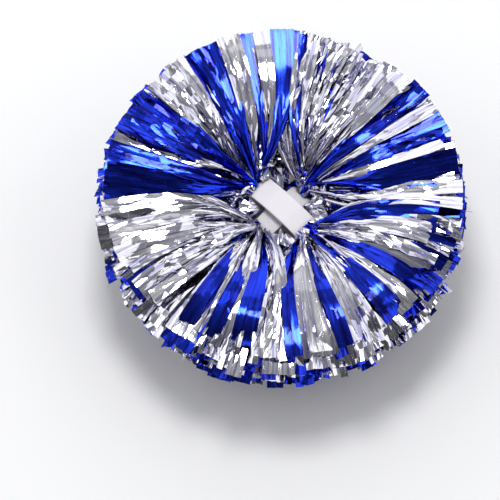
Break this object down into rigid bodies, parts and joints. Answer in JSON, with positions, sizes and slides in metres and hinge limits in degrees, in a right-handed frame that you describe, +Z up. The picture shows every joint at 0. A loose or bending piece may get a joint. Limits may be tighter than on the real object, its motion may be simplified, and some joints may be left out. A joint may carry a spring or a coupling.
{
  "type": "cheer pom pom",
  "caption": "Fluffed cheerleading pom pom of blue and silver film strands around a white cross-shaped plastic hand grip.",
  "frame": {"origin": "on the surface that the pom stands on, under the centre of the grip", "axes": "+Z up out of the grip side, X along the grip band, Y along the cross band"},
  "size_m": [0.3276, 0.3276, 0.124],
  "materials": {
    "white_plastic": "moulded white polypropylene, satin",
    "tie_nylon": "natural nylon, satin",
    "blue_film": "royal blue metallised film, mirror-like with fine creases",
    "silver_film": "silver metallised film, mirror-like with fine creases"
  },
  "bodies": {
    "root": {"grip_band": "white_plastic", "cross_band": "white_plastic", "core_disc": "white_plastic", "rivet_0": "white_plastic", "rivet_1": "white_plastic", "rivet_2": "white_plastic", "rivet_3": "white_plastic", "cable_tie_0": "tie_nylon", "cable_tie_1": "tie_nylon", "cable_tie_2": "tie_nylon", "cable_tie_3": "tie_nylon", "bundle_root_0": "silver_film", "bundle_root_1": "blue_film", "bundle_root_2": "silver_film", "bundle_root_3": "blue_film", "under_tuft_0": "silver_film", "under_tuft_1": "blue_film", "under_tuft_2": "silver_film", "under_tuft_3": "blue_film"},
    "tuft_00": {"tuft_00_top": "silver_film", "tuft_00_middle": "blue_film", "tuft_00_low": "silver_film"},
    "tuft_01": {"tuft_01_top": "blue_film", "tuft_01_middle": "silver_film", "tuft_01_low": "blue_film"},
    "tuft_02": {"tuft_02_top": "silver_film", "tuft_02_middle": "blue_film", "tuft_02_low": "silver_film"},
    "tuft_03": {"tuft_03_top": "blue_film", "tuft_03_middle": "silver_film", "tuft_03_low": "blue_film"},
    "tuft_04": {"tuft_04_top": "silver_film", "tuft_04_middle": "blue_film", "tuft_04_low": "silver_film"},
    "tuft_05": {"tuft_05_top": "blue_film", "tuft_05_middle": "silver_film", "tuft_05_low": "blue_film"},
    "tuft_06": {"tuft_06_top": "silver_film", "tuft_06_middle": "blue_film", "tuft_06_low": "silver_film"},
    "tuft_07": {"tuft_07_top": "blue_film", "tuft_07_middle": "silver_film", "tuft_07_low": "blue_film"},
    "tuft_08": {"tuft_08_top": "silver_film", "tuft_08_middle": "blue_film", "tuft_08_low": "silver_film"},
    "tuft_09": {"tuft_09_top": "blue_film", "tuft_09_middle": "silver_film", "tuft_09_low": "blue_film"},
    "tuft_10": {"tuft_10_top": "silver_film", "tuft_10_middle": "blue_film", "tuft_10_low": "silver_film"},
    "tuft_11": {"tuft_11_top": "blue_film", "tuft_11_middle": "silver_film", "tuft_11_low": "blue_film"}
  },
  "joints": [
    {"name": "tuft_00_flex", "type": "hinge", "parent": "root", "child": "tuft_00", "pos_m": [0.05, 0, 0.08], "axis": [0, -1, 0], "range_deg": [-10, 25], "stiffness_Nm_per_rad": 0.06, "springref_deg": 4.11},
    {"name": "tuft_01_flex", "type": "hinge", "parent": "root", "child": "tuft_01", "pos_m": [0.0433, 0.025, 0.08], "axis": [0.5, -0.866, 0], "range_deg": [-10, 25], "stiffness_Nm_per_rad": 0.06, "springref_deg": 4.11},
    {"name": "tuft_02_flex", "type": "hinge", "parent": "root", "child": "tuft_02", "pos_m": [0.025, 0.0433, 0.08], "axis": [0.866, -0.5, 0], "range_deg": [-10, 25], "stiffness_Nm_per_rad": 0.06, "springref_deg": 4.11},
    {"name": "tuft_03_flex", "type": "hinge", "parent": "root", "child": "tuft_03", "pos_m": [0, 0.05, 0.08], "axis": [1, 0, 0], "range_deg": [-10, 25], "stiffness_Nm_per_rad": 0.06, "springref_deg": 4.11},
    {"name": "tuft_04_flex", "type": "hinge", "parent": "root", "child": "tuft_04", "pos_m": [-0.025, 0.0433, 0.08], "axis": [0.866, 0.5, 0], "range_deg": [-10, 25], "stiffness_Nm_per_rad": 0.06, "springref_deg": 4.11},
    {"name": "tuft_05_flex", "type": "hinge", "parent": "root", "child": "tuft_05", "pos_m": [-0.0433, 0.025, 0.08], "axis": [0.5, 0.866, 0], "range_deg": [-10, 25], "stiffness_Nm_per_rad": 0.06, "springref_deg": 4.11},
    {"name": "tuft_06_flex", "type": "hinge", "parent": "root", "child": "tuft_06", "pos_m": [-0.05, 0, 0.08], "axis": [0, 1, 0], "range_deg": [-10, 25], "stiffness_Nm_per_rad": 0.06, "springref_deg": 4.11},
    {"name": "tuft_07_flex", "type": "hinge", "parent": "root", "child": "tuft_07", "pos_m": [-0.0433, -0.025, 0.08], "axis": [-0.5, 0.866, 0], "range_deg": [-10, 25], "stiffness_Nm_per_rad": 0.06, "springref_deg": 4.11},
    {"name": "tuft_08_flex", "type": "hinge", "parent": "root", "child": "tuft_08", "pos_m": [-0.025, -0.0433, 0.08], "axis": [-0.866, 0.5, 0], "range_deg": [-10, 25], "stiffness_Nm_per_rad": 0.06, "springref_deg": 4.11},
    {"name": "tuft_09_flex", "type": "hinge", "parent": "root", "child": "tuft_09", "pos_m": [0, -0.05, 0.08], "axis": [-1, 0, 0], "range_deg": [-10, 25], "stiffness_Nm_per_rad": 0.06, "springref_deg": 4.11},
    {"name": "tuft_10_flex", "type": "hinge", "parent": "root", "child": "tuft_10", "pos_m": [0.025, -0.0433, 0.08], "axis": [-0.866, -0.5, 0], "range_deg": [-10, 25], "stiffness_Nm_per_rad": 0.06, "springref_deg": 4.11},
    {"name": "tuft_11_flex", "type": "hinge", "parent": "root", "child": "tuft_11", "pos_m": [0.0433, -0.025, 0.08], "axis": [-0.5, -0.866, 0], "range_deg": [-10, 25], "stiffness_Nm_per_rad": 0.06, "springref_deg": 4.11}
  ]
}
